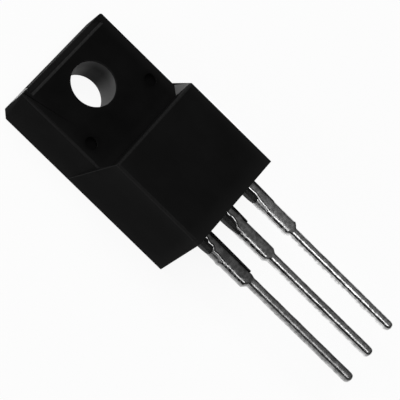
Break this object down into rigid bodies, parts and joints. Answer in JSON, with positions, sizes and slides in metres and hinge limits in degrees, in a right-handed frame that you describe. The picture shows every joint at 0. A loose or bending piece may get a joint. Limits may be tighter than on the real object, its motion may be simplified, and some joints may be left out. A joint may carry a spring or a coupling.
{
  "type": "power transistor",
  "caption": "Fully moulded power transistor: black epoxy body with a thinner tab that has a screw hole, and straight tinned leads for a circuit board.",
  "frame": {"origin": "centre of the screw hole on the back face, which is the mounting face", "axes": "+X across the body, towards the emitter lead; +Y along the body towards the end of the tab, away from the leads; +Z out of the front face, along the screw hole"},
  "size_m": [0.01, 0.0287, 0.0046],
  "materials": {
    "epoxy": "satin",
    "tinned_copper": "tin-plated, slightly uneven",
    "silicon": "polished",
    "solder": "dull",
    "bond_wire": "bright"
  },
  "bodies": {
    "root": {"moulded_body": "epoxy", "collector_lead_and_plate": "tinned_copper", "base_lead": "tinned_copper", "emitter_lead": "tinned_copper", "chip": "silicon", "chip_solder": "solder", "base_bond_wire": "bond_wire", "emitter_bond_wire": "bond_wire"}
  },
  "joints": []
}
